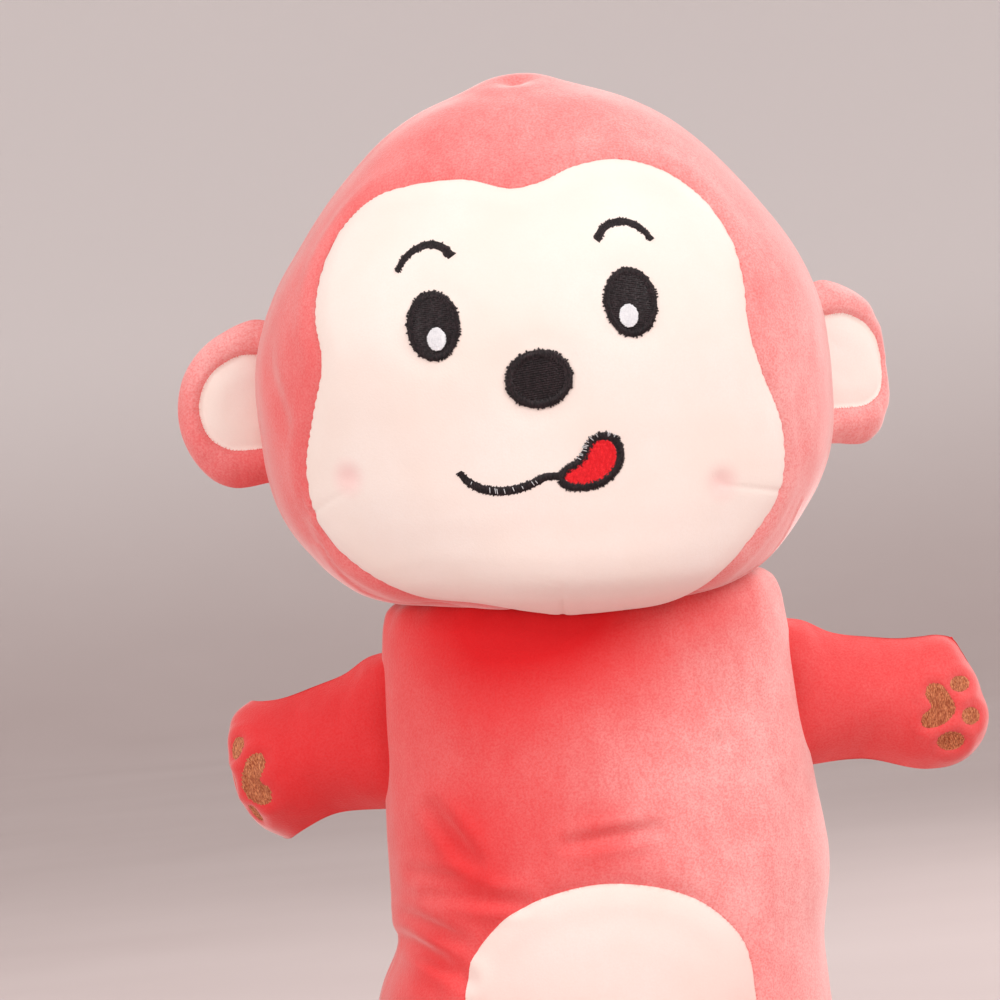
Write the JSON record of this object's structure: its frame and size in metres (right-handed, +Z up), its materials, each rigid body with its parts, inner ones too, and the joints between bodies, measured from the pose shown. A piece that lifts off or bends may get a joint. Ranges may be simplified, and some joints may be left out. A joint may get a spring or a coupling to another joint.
{
  "type": "stuffed monkey",
  "caption": "Stuffed plush monkey sitting upright, with a large head, embroidered face, folding ears, swinging arms, lifting legs and a short tail.",
  "frame": {"origin": "middle of the flat seat that the toy sits on", "axes": "+Z up through the crown, the face looks along -Y, +X is to the right of a viewer who faces it"},
  "size_m": [0.2688, 0.2576, 0.3795],
  "materials": {
    "coral_plush": "matte",
    "cream_plush": "matte",
    "stuffing": "matte",
    "black_thread": "satin",
    "white_thread": "satin",
    "red_thread": "satin",
    "brown_thread": "satin",
    "coral_thread": "satin",
    "label_satin": "satin"
  },
  "bodies": {
    "torso": {"belly_panel": "cream_plush", "care_label": "label_satin", "closing_stitches": "coral_thread", "seat_panel": "coral_plush", "torso_back_left": "coral_plush", "torso_back_right": "coral_plush", "torso_front_panel": "coral_plush", "torso_stuffing": "stuffing"},
    "head": {"brow_left": "black_thread", "brow_right": "black_thread", "eye_highlight_left": "white_thread", "eye_highlight_right": "white_thread", "eye_left": "black_thread", "eye_right": "black_thread", "face_panel": "cream_plush", "head_back_left": "coral_plush", "head_back_right": "coral_plush", "head_front_panel": "coral_plush", "head_stuffing": "stuffing", "mouth": "black_thread", "nose": "black_thread", "tongue": "red_thread"},
    "ear_left": {"ear_left_back": "coral_plush", "ear_left_front": "coral_plush", "ear_left_lining": "cream_plush", "ear_left_stuffing": "stuffing"},
    "ear_right": {"ear_right_back": "coral_plush", "ear_right_front": "coral_plush", "ear_right_lining": "cream_plush", "ear_right_stuffing": "stuffing"},
    "arm_left": {"arm_left_back": "coral_plush", "arm_left_front": "coral_plush", "arm_left_pad": "brown_thread", "arm_left_stuffing": "stuffing", "arm_left_toes": "brown_thread"},
    "arm_right": {"arm_right_back": "coral_plush", "arm_right_front": "coral_plush", "arm_right_pad": "brown_thread", "arm_right_stuffing": "stuffing", "arm_right_toes": "brown_thread"},
    "leg_left": {"leg_left_lower": "coral_plush", "leg_left_pad": "brown_thread", "leg_left_stuffing": "stuffing", "leg_left_toes": "brown_thread", "leg_left_upper": "coral_plush"},
    "leg_right": {"leg_right_lower": "coral_plush", "leg_right_pad": "brown_thread", "leg_right_stuffing": "stuffing", "leg_right_toes": "brown_thread", "leg_right_upper": "coral_plush"},
    "tail": {"tail_cover": "coral_plush", "tail_stuffing": "stuffing"}
  },
  "joints": [
    {"name": "neck_nod", "type": "hinge", "parent": "torso", "child": "head", "pos_m": [0, 0, 0.18], "axis": [1, 0, 0], "range_deg": [-18, 18], "stiffness_Nm_per_rad": 1.2},
    {"name": "ear_left_fold", "type": "hinge", "parent": "head", "child": "ear_left", "pos_m": [-0.1083, -0.002, 0.273], "axis": [0, 0, 1], "range_deg": [-40, 45], "stiffness_Nm_per_rad": 0.03},
    {"name": "ear_right_fold", "type": "hinge", "parent": "head", "child": "ear_right", "pos_m": [0.0973, -0.002, 0.273], "axis": [0, 0, -1], "range_deg": [-25, 55], "stiffness_Nm_per_rad": 0.03},
    {"name": "arm_left_swing", "type": "hinge", "parent": "torso", "child": "arm_left", "pos_m": [-0.082, 0, 0.16], "axis": [0, 0, 1], "range_deg": [-25, 75], "stiffness_Nm_per_rad": 0.04},
    {"name": "arm_right_swing", "type": "hinge", "parent": "torso", "child": "arm_right", "pos_m": [0.082, 0, 0.16], "axis": [0, 0, -1], "range_deg": [-45, 60], "stiffness_Nm_per_rad": 0.04},
    {"name": "leg_left_lift", "type": "hinge", "parent": "torso", "child": "leg_left", "pos_m": [-0.046, -0.0565, 0.024], "axis": [-0.8829, 0.4695, 0], "range_deg": [0, 50], "stiffness_Nm_per_rad": 0.12},
    {"name": "leg_right_lift", "type": "hinge", "parent": "torso", "child": "leg_right", "pos_m": [0.046, -0.0565, 0.024], "axis": [-0.8829, -0.4695, 0], "range_deg": [0, 50], "stiffness_Nm_per_rad": 0.12},
    {"name": "tail_wag", "type": "hinge", "parent": "torso", "child": "tail", "pos_m": [0, 0.0665, 0.036], "axis": [0, 0, 1], "range_deg": [-40, 40], "stiffness_Nm_per_rad": 0.02}
  ]
}
